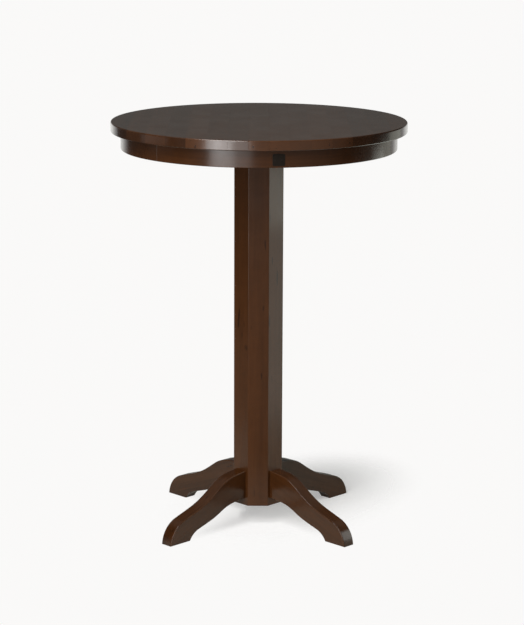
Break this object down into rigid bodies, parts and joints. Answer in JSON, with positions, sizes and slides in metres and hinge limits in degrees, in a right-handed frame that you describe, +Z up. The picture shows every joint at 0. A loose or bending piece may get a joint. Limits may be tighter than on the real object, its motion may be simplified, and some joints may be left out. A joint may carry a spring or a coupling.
{
  "type": "pub table",
  "caption": "Round bar-height pub table with a ring apron, an octagonal column and curved legs, in dark-stained wood.",
  "frame": {"origin": "on the floor, below the axis of the column", "axes": "+Z up along the column, -Y towards the front, +X to the right; the legs lie on the diagonals"},
  "size_m": [0.762, 0.762, 1.0668],
  "materials": {
    "top_wood": "dark stain under satin lacquer",
    "apron_wood": "dark stain under satin lacquer",
    "column_wood": "dark stain under satin lacquer",
    "leg_wood": "dark stain under satin lacquer",
    "cleat_wood": "dark stain, unlacquered",
    "raw_wood": "bare wood",
    "zinc": "zinc plated",
    "badge_black": "black satin lacquer"
  },
  "bodies": {
    "root": {"top_stave_1": "top_wood", "top_stave_2": "top_wood", "top_stave_3": "top_wood", "top_stave_4": "top_wood", "top_stave_5": "top_wood", "top_stave_6": "top_wood", "top_stave_7": "top_wood", "top_stave_8": "top_wood", "top_stave_9": "top_wood", "top_stave_10": "top_wood", "top_stave_11": "top_wood", "top_stave_12": "top_wood", "top_stave_13": "top_wood", "top_stave_14": "top_wood", "top_stave_15": "top_wood", "apron_segment_1": "apron_wood", "apron_segment_2": "apron_wood", "apron_segment_3": "apron_wood", "apron_segment_4": "apron_wood", "apron_dowels": "raw_wood", "apron_screws": "zinc", "cleat_across": "cleat_wood", "cleat_lengthwise": "cleat_wood", "cleat_screws": "zinc", "column_stave_1": "column_wood", "column_stave_2": "column_wood", "column_stave_3": "column_wood", "column_stave_4": "column_wood", "column_stave_5": "column_wood", "column_stave_6": "column_wood", "column_stave_7": "column_wood", "column_stave_8": "column_wood", "column_plug": "raw_wood", "column_head_screws": "zinc", "leg_front_right": "leg_wood", "leg_rear_right": "leg_wood", "leg_rear_left": "leg_wood", "leg_front_left": "leg_wood", "hanger_bolts": "zinc", "bolt_washers": "zinc", "bolt_nuts": "zinc", "badge_plate": "badge_black", "badge_pins": "badge_black"}
  },
  "joints": []
}
